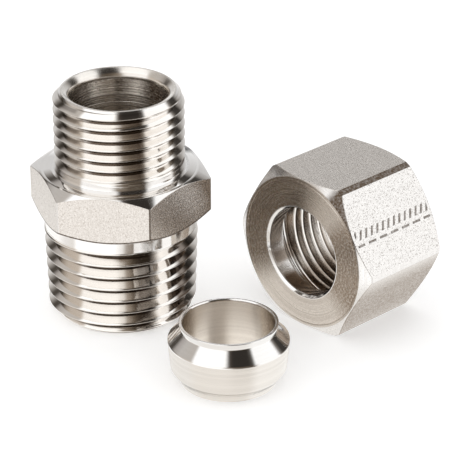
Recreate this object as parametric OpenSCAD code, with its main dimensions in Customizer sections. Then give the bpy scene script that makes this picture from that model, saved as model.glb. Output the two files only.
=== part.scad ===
// Straight compression coupling for pipe and tube, taken apart: a stud body, a cutting ring
// and a union nut. All three stand on the plane z = 0. The origin is on the body's axis,
// at the bottom face of its taper thread, and the body stands upright along +Z.

/* [Tube] */
// Outside diameter of the tube that the coupling grips
tube_d = 12; // [11.4:0.1:12.4]
// Diametral clearance of the ring and the socket over the tube
tube_fit = 0.1; // [0.05:0.05:0.3]
// Diametral clearance of the nut's hole over the tube
nut_hole_fit = 0.7; // [0.4:0.05:0.8]
// Width of the ledge that stops the tube, down to the bore that the fluid runs through
stop_w = 1; // [0.6:0.05:2.5]

/* [Compression end of the body] */
// How much wider the compression thread is than the tube
thread_over = 6; // [5.8:0.1:6.6]
// Pitch of the compression thread
thread_pitch = 1.5; // [1.25:0.05:1.6]
// How far the outside crests lie below the nominal diameter, across the thread
crest_play = 0.12; // [0.04:0.02:0.2]
// Height of the threaded neck above the hexagon
neck_h = 11.4; // [10.6:0.1:14]
// Plain collar under the thread, down to the hexagon
collar_h = 1.15; // [1:0.05:1.8]
// How far both plain collars lie under the crests of their threads
collar_step = 0.08; // [0.04:0.01:0.2]
// Radius of the hollow where the collar meets the hexagon
collar_fillet = 0.6; // [0.3:0.05:0.8]
// Height of the chamfer at the top of the thread
neck_chamfer = 1.1; // [0.8:0.05:1.4]
// Width of the flat rim between the outer chamfer and the rounded mouth
rim_w = 0.15; // [0.1:0.01:0.3]
// Depth of the rounded mouth
mouth_depth = 1.35; // [1.1:0.05:1.6]
// How much wider than the tube the long cone starts, at the foot of the mouth
cone_over = 1.1; // [0.9:0.05:1.3]
// Half of the long cone's angle
cone_half_angle = 12; // [10:0.5:15]
// Depth from the rim to the face that stops the tube
socket_depth = 7; // [6:0.25:9]

/* [Hexagon of the body] */
// Least width of the hexagon's shoulder round the compression thread
hex_shoulder = 2; // [1.6:0.1:4]
// Least width of the hexagon's ledge round the taper thread
hex_ledge = 0.5; // [0.4:0.05:2]
// Height of the hexagon
hex_h = 6.65; // [5:0.25:9]
// Angle of the chamfer on both ends of the hexagon and of the nut
hex_chamfer = 30; // [20:1:35]
// Turn of the hexagon about the body's axis
hex_turn = -9.5; // [-30:0.5:30]

/* [Taper end of the body] */
// Thread diameter at the gauge plane
taper_gauge_d = 20.955; // [20:0.1:21.2]
// Height of the gauge plane above the bottom face
taper_gauge_h = 8.16; // [6:0.25:9]
// Pitch of the taper thread
taper_pitch = 1.8143; // [1.5:0.05:1.9]
// Depth of the taper thread
taper_depth = 1.16; // [0.8:0.02:1.2]
// Growth in diameter for each millimetre of height
taper_rate = 0.0625; // [0.03:0.0025:0.08]
// Height of the taper end below the hexagon
taper_h = 14.6; // [13.4:0.1:18]
// Plain collar above the taper thread
taper_collar_h = 1.7; // [1:0.1:2.4]
// Height of the chamfer at the bottom of the taper end
taper_chamfer = 1.2; // [0.8:0.05:1.5]
// How far that chamfer goes in below the thread's root
taper_foot_step = 0.12; // [0.08:0.01:0.3]

/* [Cutting ring] */
// Height of the ring
ring_h = 8.57; // [8.2:0.05:9.5]
// Diametral clearance of the ring's nose in the body's cone
ring_nose_fit = 0.2; // [0.1:0.05:0.3]
// Height of the straight nose, which faces down
ring_nose_h = 0.85; // [0.5:0.05:1.1]
// Height of the shoulder above the nose
ring_shoulder_h = 0.95; // [0.7:0.05:1.1]
// Diametral clearance of the ring's widest edge in the nut's thread
ring_nut_fit = 0.12; // [0.05:0.01:0.3]
// How far the ring's side leans in, across its diameter, from its widest edge down
ring_side_taper = 0.75; // [0.5:0.05:1]
// Height of the plain lip on top
ring_lip_h = 0.95; // [0.6:0.05:1.1]
// Wall of the lip
ring_lip_wall = 0.55; // [0.4:0.01:0.6]
// Chamfer in the bore at the lip
ring_bore_chamfer = 0.2; // [0.1:0.02:0.24]
// Place of the ring to the right of the body's axis
ring_x = 14.9; // [14:0.5:40]
// Place of the ring in front of the body's axis
ring_y = -21.3; // [-40:0.5:-21]

/* [Union nut] */
// Wall of the nut between its thread and a flat
nut_wall = 2; // [1.75:0.05:4]
// Length of the nut
nut_l = 15.2; // [14.6:0.1:18]
// How far the turned-down corners stand out past the flats, across the nut
nut_corner_over = 2.9; // [2.8:0.05:3.1]
// Chamfer at the mouth of the tube hole
nut_hole_chamfer = 0.3; // [0.1:0.05:0.5]
// Length of the plain tube hole, with its chamfer
nut_land_l = 2.7; // [2:0.1:3.2]
// Half of the angle of the cone that presses on the ring
nut_cone_half_angle = 45; // [40:1:50]
// How far the relief between the cone and the thread is cut below the thread's root
nut_relief_step = 0.15; // [0.08:0.01:0.3]
// Plain relief between the cone and the thread
nut_relief_l = 0.6; // [0.3:0.05:1]
// Chamfer at the thread's mouth
nut_mouth_chamfer = 0.9; // [0.6:0.05:1.1]
// Place of the nut's tube end to the right of the body's axis
nut_x = 24.75; // [24:0.25:50]
// Place of the nut's tube end in front of the body's axis
nut_y = -6.15; // [-8:0.25:10]
// Direction of the nut's axis, from its tube end, in plan
nut_turn = 43.8; // [30:0.2:60]

/* [Hidden] */
steel = [0.80, 0.78, 0.75];
over = 0.5;
round_fn = 96;
mouth_steps = 5;

// Straight sides per turn of a thread, how far a thread runs into its collar as a share of
// the pitch, and the height of a sharp 60 degree thread
thread_sides = 36;
run_in = 1 / 6;
sharp_h = thread_pitch * sqrt(3) / 2;

// Angles at which the threads start: on the neck, on the taper end and in the nut
neck_phase = 118;
taper_phase = -144;
nut_phase = 35;

// The thread's nominal size follows the tube. The bore, the cone's mouth, the hexagon and the
// nut follow these two
thread_d = tube_d + thread_over;
flow_d = tube_d - 2 * stop_w;
cone_mouth_d = tube_d + cone_over;
hex_af = max(thread_d + 2 * hex_shoulder, taper_gauge_d + 2 * hex_ledge);
nut_af = thread_d + 2 * nut_wall;
nut_corner_d = nut_af + nut_corner_over;

// Levels of the body, from the bottom face up
taper_end_z = taper_h - taper_collar_h;
taper_seat = taper_pitch * run_in;
hex_z = taper_h;
neck_z = hex_z + hex_h;
thread_z = neck_z + collar_h;
top_z = neck_z + neck_h;

// Radii of the compression thread: crest and root outside, crest and root in the nut
crest_r = (thread_d - crest_play) / 2;
root_r = crest_r - sharp_h * 0.64;
thread_seat = thread_pitch * run_in;
nut_crest_r = thread_d / 2 - sharp_h * 0.625;
nut_root_r = thread_d / 2 + 0.05;

// Radii of the mouth, the cone and the socket
rim_r = crest_r - neck_chamfer;
mouth_r = rim_r - rim_w;
socket_r = (tube_d + tube_fit) / 2;
cone_depth = (cone_mouth_d / 2 - socket_r) / tan(cone_half_angle);

// The cutting ring follows the cone, the mouth and the nut's thread
ring_bore_r = (tube_d + tube_fit) / 2;
ring_nose_r = (cone_mouth_d - ring_nose_fit) / 2;
ring_r = nut_crest_r - ring_nut_fit / 2;
ring_foot_r = ring_r - ring_side_taper / 2;
ring_lip_r = ring_bore_r + ring_lip_wall;
ring_lip_z = ring_h - ring_lip_h;
ring_edge_z = ring_lip_z - (ring_r - ring_lip_r);
ring_shoulder_z = ring_nose_h + ring_shoulder_h;

// The nut's hole, cone and thread, along its axis from the tube end
nut_hole_r = (tube_d + nut_hole_fit) / 2;
nut_relief_r = nut_root_r + nut_relief_step;
nut_cone_l = (nut_relief_r - nut_hole_r) / tan(nut_cone_half_angle);
nut_relief_z = nut_land_l + nut_cone_l;
nut_thread_z = nut_relief_z + nut_relief_l;

// Profile of one pitch: how far along the pitch each corner lies, and how far up the flank
metric_form = [[0, 0], [5 / 16, 1], [7 / 16, 1], [3 / 4, 0]];
pipe_form = [[0, 0], [1 / 3, 1], [1 / 2, 1], [5 / 6, 0]];

// Radius of the taper thread's crests at height z
function taper_r(z) = (taper_gauge_d + (z - taper_gauge_h) * taper_rate) / 2;

// Points of a hollow quarter round from a wall of radius r out to a floor at height z
function hollow(r, z, size, steps = 6) = [for (i = [0 : steps])
    let (a = 90 * i / steps) [r + size * (1 - sin(a)), z + size * (1 - cos(a))]];

// A rod with a right-hand thread. The form is a list of corners in one pitch, and each corner
// winds up as a helix. root is the radius at the thread's foot at z = 0, grow is its growth per
// millimetre of height, and phase is the angle at which the first groove starts.
module threaded_rod(form, pitch, root, depth, z_low, z_high, grow = 0, phase = 0) {
    corners = len(form);
    turns = ceil((z_high - z_low) / pitch) + 2;
    steps = turns * thread_sides;
    z_start = z_low - pitch * (1.5 + 0.5 / thread_sides);
    function at(i, j) = corners * i + j;
    function height(i, j) = z_start + pitch * (i / thread_sides + form[j][0]);
    function radius(i, j) = root + grow * height(i, j) + depth * form[j][1];
    wound = [for (i = [0 : steps]) for (j = [0 : corners - 1])
        let (a = phase + 360 * i / thread_sides)
        [radius(i, j) * cos(a), radius(i, j) * sin(a), height(i, j)]];
    low = len(wound);
    high = low + 1;
    points = concat(wound, [[0, 0, z_start + pitch / 2],
        [0, 0, height(steps, corners - 1) - pitch / 2]]);
    last = corners - 1;
    flanks = [for (i = [0 : steps - 1]) for (j = [0 : last - 1]) each
        [[at(i, j), at(i, j + 1), at(i + 1, j + 1)], [at(i, j), at(i + 1, j + 1), at(i + 1, j)]]];
    grooves = [for (i = [0 : steps - thread_sides - 1]) let (n = i + thread_sides) each
        [[at(i, last), at(n, 0), at(n + 1, 0)], [at(i, last), at(n + 1, 0), at(i + 1, last)]]];
    floor_fan = [for (i = [0 : thread_sides - 1]) [low, at(i, 0), at(i + 1, 0)]];
    top_fan = [for (i = [steps - thread_sides : steps - 1]) [high, at(i + 1, last), at(i, last)]];
    floor_step = [concat([low, at(thread_sides, 0)], [for (j = [last : -1 : 0]) at(0, j)])];
    top_step = [concat([high, at(steps - thread_sides, last)], [for (j = [0 : last]) at(steps, j)])];
    polyhedron(points, concat(flanks, grooves, floor_fan, top_fan, floor_step, top_step), convexity = 12);
}

// A turned solid from a half section of [radius, height] points
module turned(section) {
    rotate_extrude($fn = round_fn) polygon(section);
}

// A bar of six flats between z = 0 and z = length, chamfered at both ends
module hexagon(af, length) {
    corner = af / sqrt(3) + over;
    drop = (corner - af / 2) * tan(hex_chamfer);
    intersection() {
        cylinder(h = length, r = af / sqrt(3), $fn = 6);
        turned([[0, 0], [af / 2 - 0.1, 0], [corner, drop + 0.1 * tan(hex_chamfer)],
            [corner, length - drop - 0.1 * tan(hex_chamfer)], [af / 2 - 0.1, length], [0, length]]);
    }
}

// Compression thread, cut from a blank with a chamfered top
module compression_thread() {
    intersection() {
        threaded_rod(metric_form, thread_pitch, root_r, crest_r - root_r, thread_z, top_z, 0,
            neck_phase);
        turned([[0, thread_z - thread_seat], [crest_r + over, thread_z - thread_seat],
            [crest_r + over, top_z - neck_chamfer - over], [rim_r, top_z], [0, top_z]]);
    }
}

// Plain collar under the compression thread, hollowed out to the hexagon
module neck_collar() {
    r = crest_r - collar_step;
    turned(concat([[0, neck_z - over], [r + collar_fillet, neck_z - over]],
        hollow(r, neck_z, collar_fillet),
        [[r, thread_z - thread_seat], [r - 2 * thread_seat, thread_z + thread_seat],
        [0, thread_z + thread_seat]]));
}

// Taper thread, cut from a cone with a chamfered bottom, and its plain collar
module taper_thread() {
    root = taper_r(0) - taper_depth;
    foot_r = root - taper_foot_step;
    slope = (taper_r(0) - foot_r) / taper_chamfer;
    intersection() {
        threaded_rod(pipe_form, taper_pitch, root, taper_depth, 0, taper_end_z,
            taper_rate / 2, taper_phase);
        turned([[0, 0], [foot_r, 0], [foot_r + slope * (taper_chamfer + over), taper_chamfer + over],
            [taper_r(hex_z) + over, taper_end_z + taper_seat], [0, taper_end_z + taper_seat]]);
    }
}

module taper_collar() {
    r = taper_r(taper_end_z) - collar_step;
    turned([[0, taper_end_z - taper_seat], [r - 2 * taper_seat, taper_end_z - taper_seat],
        [r, taper_end_z + taper_seat], [taper_r(hex_z) - collar_step, hex_z + over], [0, hex_z + over]]);
}

// Half section of the mouth: a quarter of an ellipse from the long cone up to the rim
function mouth_point(share) = [
    mouth_r - (mouth_r - cone_mouth_d / 2) * cos(90 * share),
    top_z - mouth_depth * (1 - sin(90 * share))];
mouth_line = [for (step = [0 : mouth_steps]) mouth_point(step / mouth_steps)];

// Everything that is bored out of the body, from the rim down
module body_bore() {
    turned(concat(
        [[0, top_z - socket_depth], [socket_r, top_z - socket_depth]],
        [[socket_r, top_z - mouth_depth - cone_depth]],
        mouth_line,
        [[mouth_r, top_z + 1], [0, top_z + 1]]));
    translate([0, 0, -1]) cylinder(h = top_z + 1 - socket_depth + 0.5, d = flow_d, $fn = round_fn);
}

module stud_body() {
    color(steel) difference() {
        union() {
            taper_thread();
            taper_collar();
            translate([0, 0, hex_z]) rotate([0, 0, hex_turn]) hexagon(hex_af, hex_h);
            neck_collar();
            compression_thread();
        }
        body_bore();
    }
}

module cutting_ring() {
    color(steel) translate([ring_x, ring_y, 0]) turned([
        [ring_bore_r, 0], [ring_nose_r, 0], [ring_nose_r, ring_nose_h],
        [ring_foot_r - 0.35, ring_shoulder_z - 0.15], [ring_foot_r, ring_shoulder_z + 0.35],
        [ring_r, ring_edge_z - 0.25], [ring_r - 0.04, ring_edge_z],
        [ring_lip_r, ring_lip_z], [ring_lip_r, ring_h],
        [ring_bore_r + ring_bore_chamfer, ring_h], [ring_bore_r, ring_h - ring_bore_chamfer]]);
}

// The nut's inside, along its axis: tube hole, pressing cone, relief and thread
module nut_bore() {
    turned([[0, -1], [nut_hole_r + nut_hole_chamfer + 1, -1], [nut_hole_r, nut_hole_chamfer],
        [nut_hole_r, nut_land_l], [nut_relief_r, nut_relief_z], [nut_relief_r, nut_thread_z],
        [0, nut_thread_z]]);
    intersection() {
        threaded_rod(metric_form, thread_pitch, nut_crest_r, nut_root_r - nut_crest_r,
            nut_thread_z, nut_l, 0, nut_phase);
        turned([[0, nut_thread_z - thread_seat], [nut_root_r + over, nut_thread_z - thread_seat],
            [nut_root_r + over, nut_l + over], [0, nut_l + over]]);
    }
    turned([[0, nut_l - nut_mouth_chamfer - over], [nut_crest_r - over, nut_l - nut_mouth_chamfer - over],
        [nut_crest_r + nut_mouth_chamfer + 1, nut_l + 1], [0, nut_l + 1]]);
}

module union_nut() {
    color(steel) translate([nut_x, nut_y, nut_af / 2]) rotate([0, 90, nut_turn]) difference() {
        intersection() {
            rotate([0, 0, 30]) hexagon(nut_af, nut_l);
            cylinder(h = nut_l, d = nut_corner_d, $fn = round_fn);
        }
        nut_bore();
    }
}

stud_body();
cutting_ring();
union_nut();
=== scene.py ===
"""A straight compression coupling in stainless steel, taken apart on a white table.

Three pieces: the stud body, which stands on its taper thread, the cutting ring in front of it
and the union nut, which lies on one flat. Each is one closed skin worked out on a grid of
angles and rows. The rows of a threaded stretch wind up with the thread, so every crest and
every root follows a true helix.
"""
import math
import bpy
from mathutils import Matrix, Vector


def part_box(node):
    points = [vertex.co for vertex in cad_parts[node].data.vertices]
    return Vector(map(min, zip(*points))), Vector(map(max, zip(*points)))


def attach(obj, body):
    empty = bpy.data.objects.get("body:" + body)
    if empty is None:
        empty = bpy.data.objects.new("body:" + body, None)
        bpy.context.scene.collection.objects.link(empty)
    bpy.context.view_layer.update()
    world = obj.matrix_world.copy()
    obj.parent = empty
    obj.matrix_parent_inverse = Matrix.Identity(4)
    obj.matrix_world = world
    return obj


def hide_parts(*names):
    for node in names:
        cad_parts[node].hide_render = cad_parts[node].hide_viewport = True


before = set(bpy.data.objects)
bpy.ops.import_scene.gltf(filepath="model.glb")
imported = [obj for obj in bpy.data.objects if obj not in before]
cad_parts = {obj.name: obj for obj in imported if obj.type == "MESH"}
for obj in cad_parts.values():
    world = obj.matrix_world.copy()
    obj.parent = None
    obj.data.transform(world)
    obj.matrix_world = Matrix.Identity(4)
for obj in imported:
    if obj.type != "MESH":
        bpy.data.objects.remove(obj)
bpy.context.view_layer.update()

from types import SimpleNamespace

import bpy
import numpy as np
from bpy.props import FloatProperty, FloatVectorProperty, PointerProperty
from bpy.types import Operator, Panel, PropertyGroup

bl_info = {
    "name": "Straight Compression Coupling",
    "version": (1, 0, 0),
    "blender": (4, 5, 0),
    "location": "3D View > Sidebar > Coupling",
    "description": "Builds a coupling for pipe and tube with its cutting ring and union nut",
    "category": "Add Mesh",
}

MM = 0.001
COS_30 = 0.866  # Turns a place on the nut into the distance along its marked flat.
WELD = 2e-5  # Points closer than this many millimetres become one.
SHADE_STARTS = 0.75  # Depth in a groove at which the painted shade begins.
UNDER_R = 10.75  # Where the body's lower collar meets the hexagon.
BORE_SEAM = 3.0  # Height at which the skin of the body's bore starts and ends.
SHOULDER_LEAN = 0.20  # How far the shoulder above the hexagon rises to the hollow.
PHOTO_PIXELS = 470


def size(name, words, value, low=0.0):
    """A length that a user may change, written in millimetres and kept in metres."""
    return FloatProperty(name=name, description=words, default=value * MM, min=low * MM,
                         unit="LENGTH", precision=5)


def colour(name, words, value):
    """A linear colour that a user may change."""
    return FloatVectorProperty(name=name, description=words, default=value, size=3, min=0.0,
                               max=1.0, subtype="COLOR")


class BodySizes(PropertyGroup):
    """Sizes of the stud body."""
    flow_r: size("Flow bore", "Radius of the bore through the body", 5.0)
    foot_z: size("Taper chamfer", "Height of the chamfer at the bottom", 1.2)
    foot_step: size("Foot step", "How far the foot lies inside the thread's root", 0.12)
    gauge_r: size("Gauge radius", "Thread radius at the gauge plane", 10.4775)
    gauge_z: size("Gauge height", "Height of the gauge plane", 8.16)
    taper_pitch: size("Taper pitch", "Pitch of the taper thread", 1.8143)
    taper_depth: size("Taper depth", "Depth of the taper thread", 1.16)
    taper_end: size("Taper end", "Height at which the taper thread runs out", 12.9)
    hex_z: size("Hexagon floor", "Height of the hexagon's lower face", 14.6)
    hex_top: size("Hexagon top", "Height of the hexagon's upper face", 21.25)
    hex_af: size("Across flats", "Distance across the hexagon's flats", 22.0)
    collar_step: size("Collar step", "How far the collars lie under the crests", 0.08)
    fillet: size("Hollow", "Radius of the hollow above the hexagon", 0.6)
    thread_z: size("Thread floor", "Height at which the compression thread starts", 22.4)
    crest_r: size("Crest radius", "Radius of the compression thread's crests", 8.94)
    root_r: size("Root radius", "Radius of the compression thread's roots", 8.1086)
    pitch: size("Pitch", "Pitch of the compression thread", 1.5)
    chamfer: size("Rim chamfer", "Chamfer around the rim", 1.1)
    rim_w: size("Rim width", "Width of the flat rim", 0.15)
    mouth_z: size("Mouth depth", "Depth of the rounded mouth", 1.35)
    cone_r: size("Cone radius", "Radius at which the long cone starts", 6.55)
    socket_r: size("Socket radius", "Radius of the tube socket", 6.05)
    socket_z: size("Socket depth", "Depth from the rim to the tube's stop", 7.0)


class RingSizes(PropertyGroup):
    """Sizes of the cutting ring."""
    x: size("Right", "Place to the right of the body's axis", 14.9)
    y: size("Front", "Place behind the body's axis, negative in front", -21.3, -100)
    bore_r: size("Bore radius", "Radius of the bore", 6.05)
    nose_r: size("Nose radius", "Radius of the nose that faces down", 6.45)
    nose_z: size("Nose height", "Height of the nose", 0.85)
    shoulder_z: size("Shoulder height", "Height at which the shoulder ends", 1.8)
    foot_r: size("Foot radius", "Radius of the side above the shoulder", 7.753)
    edge_r: size("Edge radius", "Radius of the widest edge", 8.12)
    edge_z: size("Edge height", "Height of the widest edge", 6.092)
    lip_r: size("Lip radius", "Outside radius of the lip", 6.6)
    lip_z: size("Lip height", "Height at which the lip starts", 7.62)
    bore_chamfer: size("Bore chamfer", "Chamfer in the bore at the lip", 0.2)


class NutSizes(PropertyGroup):
    """Sizes of the union nut, along its own axis from the tube end."""
    x: size("Right", "Place of the tube end to the right of the body's axis", 24.75)
    y: size("Front", "Place of the tube end behind the body's axis", -6.15, -100)
    turn: FloatProperty(name="Turn", description="Direction of the nut's axis in plan",
                        default=math.radians(43.8), subtype="ANGLE")
    af: size("Across flats", "Distance across the flats", 22.0)
    length: size("Length", "Length of the nut", 15.2)
    corner_r: size("Corner radius", "Radius that the corners are turned down to", 12.45)
    hole_r: size("Hole radius", "Radius of the tube hole", 6.35)
    hole_chamfer: size("Hole chamfer", "Chamfer at the mouth of the tube hole", 0.3)
    land: size("Land", "Depth at which the tube hole ends", 2.7)
    relief_r: size("Relief radius", "Radius of the relief behind the cone", 9.2)
    relief_z: size("Relief depth", "Depth at which the cone ends", 5.55)
    thread_z: size("Thread depth", "Depth at which the thread starts", 6.15)
    crest_r: size("Thread crest", "Radius of the inside thread's crests", 8.1881)
    root_r: size("Thread root", "Radius of the inside thread's roots", 9.05)
    mouth: size("Mouth chamfer", "Chamfer at the thread's mouth", 0.9)


class FinishColours(PropertyGroup):
    """Colours of the steel and the stage."""
    bright: colour("Bright steel", "Finely turned surfaces", (0.88, 0.87, 0.86))
    faced: colour("Faced steel", "End faces and sides with fine rings", (0.80, 0.75, 0.69))
    drawn: colour("Drawn steel", "Flats as the bar was drawn", (0.80, 0.765, 0.73))
    bored: colour("Bored steel", "Inside of the bores", (0.985, 0.92, 0.835))
    thread: colour("Thread steel", "Flanks and crests of the threads", (0.90, 0.875, 0.845))
    brushed: colour("Brushed steel", "Side and bore of the cutting ring", (0.87, 0.84, 0.80))
    film_and_shade: colour("Oil film", "Warm film in grooves", (0.24, 0.18, 0.13))
    soot_and_shade: colour("Dark oil", "Dark oil in the roots of the threads", (0.10, 0.07, 0.048))
    table: colour("Table", "Colour of the table top", (0.88, 0.88, 0.88))


def lengths(settings):
    """The sizes of a piece in millimetres, by name."""
    return SimpleNamespace(**{name: getattr(settings, name) / MM
                              for name in settings.__annotations__ if name != "turn"})


def frame_top(name):
    """Height of a CAD node's highest point, in millimetres."""
    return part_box(name)[1][2] / MM


def place(points, origin, down, aside, along):
    """Carries points from a piece's own frame into the shared one."""
    return origin + points[..., :1] * down + points[..., 1:2] * aside + points[..., 2:] * along


def angles_around(corner_turn, corner_half, count=240):
    """Angles round a piece: even steps, and more of them on either side of six corners."""
    even = np.arange(count) * (2 * np.pi / count)
    near = np.array([-1.6, -1.15, -1.0, -0.6, -0.2, 0.2, 0.6, 1.0, 1.15, 1.6]) * corner_half
    corners = corner_turn + np.arange(6)[:, None] * (np.pi / 3) + near[None, :]
    return np.unique(np.round(np.concatenate([even, corners.ravel() % (2 * np.pi)]), 7))


def shade_by_angle(angles, start, stops):
    """How much painted shade lies at each angle: between stops of (degrees from start, share) the
    share goes in straight lines, and it is carried to the depth at which painted shade begins."""
    turn = np.degrees(angles - start) % 360
    degrees, share = np.array(stops, float).T
    return SHADE_STARTS + (1 - SHADE_STARTS) * np.interp(turn, degrees, share, period=360)


def thread_shade(depth, root_shade, shade):
    """Painted shade on a thread: in the root as much as the root's share allows, and on its
    flanks as much as shade allows.
    """
    in_root = np.clip((depth - 0.92) / 0.05, 0.0, 1.0)
    on_flank = np.clip((depth - 0.15) / 0.20, 0.0, 1.0) - in_root
    return SHADE_STARTS + (root_shade - SHADE_STARTS) * in_root + (shade - SHADE_STARTS) * on_flank


def corner_faces(angles, corner_turn, corner_half, flats, corners):
    """A finish for each step between two angles: one for the flats, another for the narrow
    turned bands at the six corners. Flats may be six finishes, for each flat in turn."""
    middle = angles + 0.5 * (np.roll(angles, -1) - angles) % np.pi
    from_corner = (middle - corner_turn + np.pi / 6) % (np.pi / 3) - np.pi / 6
    number = np.floor((middle - corner_turn) % (2 * np.pi) / (np.pi / 3)).astype(int) % 6
    return np.where(np.abs(from_corner) < corner_half, corners, np.resize(flats, 6)[number])


def soften(points, reach=0.06):
    """Rounds a half section: each corner gives way to three points, one on each side at the
    given reach and one between them, pulled in to half of the corner."""
    pts = np.array(points, float)
    back = pts[:-2] - pts[1:-1]
    ahead = pts[2:] - pts[1:-1]
    long_back = np.linalg.norm(back, axis=1, keepdims=True)
    long_ahead = np.linalg.norm(ahead, axis=1, keepdims=True)
    near = np.minimum(reach, 0.4 * np.minimum(long_back, long_ahead))
    before = pts[1:-1] + back / long_back * near
    after = pts[1:-1] + ahead / long_ahead * near
    middle = 0.25 * before + 0.5 * pts[1:-1] + 0.25 * after
    inner = np.stack([before, middle, after], axis=1).reshape(-1, 2)
    return np.vstack([pts[:1], inner, pts[-1:]])


class Skin:
    """One closed skin, gathered from bands of rows round an axis.

    A band is a grid of radius and height over rows and angles. The last row of a band is the
    first row of the next. In a threaded band the grid is wound: going once round, row k meets
    row k + shift.
    """

    def __init__(self, angles):
        self.angles = angles
        self.points, self.faces, self.finish, self.base = [], [], [], 0
        self.lathe, self.sunk = [], []
        self.run = 0.0

    def band(self, radius, height, finish, shift=0, lines=None, depth=None):
        """Adds one band: rows by angles of radius and height, all in millimetres. lines is the
        place of each point along the half section, and depth how much painted shade it takes.
        finish is one number, or one for each angle."""
        rows, count = radius.shape
        cos, sin = np.cos(self.angles), np.sin(self.angles)
        self.points.append(np.stack([radius * cos, radius * sin, height], axis=2).reshape(-1, 3))
        step = np.hypot(np.diff(radius, axis=0), np.diff(height, axis=0))
        along = self.run + np.vstack([np.zeros(count), np.cumsum(step, axis=0)])
        self.lathe.append((along if lines is None else lines + self.run).ravel())
        self.sunk.append(np.zeros(rows * count) if depth is None else depth.ravel())
        self.run = float(along[-1].mean())
        index = self.base + np.arange(rows * count).reshape(rows, count)
        if shift:
            wound = np.vstack([index[shift:, :1], np.repeat(index[-1:, :1], shift, axis=0)])
        else:
            wound = index[:, :1]
        ring = np.hstack([index, wound])
        quads = np.stack([ring[:-1, :-1], ring[:-1, 1:], ring[1:, 1:], ring[1:, :-1]], axis=2)
        self.faces.append(quads.reshape(-1, 4))
        self.finish.append(np.broadcast_to(finish, (rows - 1, count)).ravel())
        self.base += rows * count

    def rows(self, radii, heights, finish, depths=None):
        """Adds a band of a few rows. The radius, the height and the depth of a row are each one
        number, or one for each angle."""
        radius, height, depth = (
            None if values is None else
            np.stack([np.broadcast_to(value, self.angles.shape) for value in values])
            for values in (radii, heights, depths))
        self.band(radius, height, finish, depth=depth)

    def turned(self, points, finish, reach=0.06, depth=None, first=None, last=None):
        """Adds a turned band: a half section carried round the axis. depth, where it is given,
        has one value for each angle, and so have first and last, the radius of an end row that
        meets a thread."""
        line = soften(points, reach) if len(points) > 2 else np.array(points, float)
        radii = list(line[:, 0])
        if first is not None:
            radii[0] = first
        if last is not None:
            radii[-1] = last
        self.rows(radii, line[:, 1], finish, None if depth is None else [depth] * len(line))

    def mesh(self, name, carry):
        """Welds the bands, drops faces with no area, and makes the mesh. A vertex's normal is
        the sum of the normals of its faces, each as long as the face is large, so that large
        flat faces stay flat and the small faces between them turn the corner."""
        points = np.vstack(self.points)
        quads = np.vstack(self.faces)
        finish = np.concatenate(self.finish)
        lathe = np.concatenate(self.lathe)
        sunk = np.concatenate(self.sunk)
        key = np.round(points / WELD).astype(np.int64)
        _, first, back = np.unique(key, axis=0, return_index=True, return_inverse=True)
        back = back.ravel()
        points, lathe = points[first], lathe[first]
        film_and_shade = sunk[quads]
        film_and_shade = np.vstack([film_and_shade[:, [0, 1, 2]], film_and_shade[:, [0, 2, 3]]])
        quads = back[quads]
        faces = np.vstack([quads[:, [0, 1, 2]], quads[:, [0, 2, 3]]])
        finish = np.concatenate([finish, finish])
        whole = ((faces[:, 0] != faces[:, 1]) & (faces[:, 1] != faces[:, 2])
                 & (faces[:, 0] != faces[:, 2]))
        faces, finish, film_and_shade = faces[whole], finish[whole], film_and_shade[whole]
        local = points.copy()
        points = carry(points * MM)
        cross = np.cross(points[faces[:, 1]] - points[faces[:, 0]],
                         points[faces[:, 2]] - points[faces[:, 0]])
        normal = np.zeros_like(points)
        for corner in range(3):
            for axis in range(3):
                normal[:, axis] += np.bincount(faces[:, corner], cross[:, axis], len(points))
        length = np.linalg.norm(normal, axis=1, keepdims=True)
        normal = normal / np.maximum(length, 1e-20)

        mesh = bpy.data.meshes.new(name)
        mesh.vertices.add(len(points))
        mesh.vertices.foreach_set("co", points.ravel())
        mesh.loops.add(faces.size)
        mesh.loops.foreach_set("vertex_index", faces.ravel())
        mesh.polygons.add(len(faces))
        mesh.polygons.foreach_set("loop_start", np.arange(0, faces.size, 3))
        mesh.polygons.foreach_set("loop_total", np.full(len(faces), 3))
        mesh.polygons.foreach_set("material_index", finish.astype(np.int32))
        mesh.polygons.foreach_set("use_smooth", np.ones(len(faces), bool))
        mesh.update(calc_edges=True)
        own = mesh.attributes.new("own", "FLOAT_VECTOR", "POINT")
        own.data.foreach_set("vector", local.ravel())
        rings = mesh.attributes.new("rings", "FLOAT", "POINT")
        rings.data.foreach_set("value", lathe)
        depth = mesh.attributes.new("depth", "FLOAT", "CORNER")
        depth.data.foreach_set("value", film_and_shade.ravel())
        round_uv = mesh.uv_layers.new(name="around")
        turn = np.arctan2(local[:, 1], local[:, 0]) / (2 * np.pi)
        u = turn[faces]
        u = np.where(u.max(axis=1, keepdims=True) - u > 0.5, u + 1.0, u)
        round_length = 50
        uv = np.stack([u * round_length, lathe[faces]], axis=2)
        round_uv.data.foreach_set("uv", uv.ravel())
        mesh.validate()
        mesh.normals_split_custom_set_from_vertices(normal)
        return mesh


def flank(form, place, dip):
    """How far up the thread's flank a place on the pitch lies: straight from corner to corner
    of the form, and in the root a shallow arc, half a sine wave as deep as dip."""
    share = np.array([corner[0] for corner in form] + [1.0])
    rise = np.array([corner[1] for corner in form] + [form[0][1]])
    root = np.clip((place - share[-2]) / (1.0 - share[-2]), 0.0, 1.0)
    return np.interp(place, share, rise) - dip * np.sin(np.pi * root)


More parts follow.
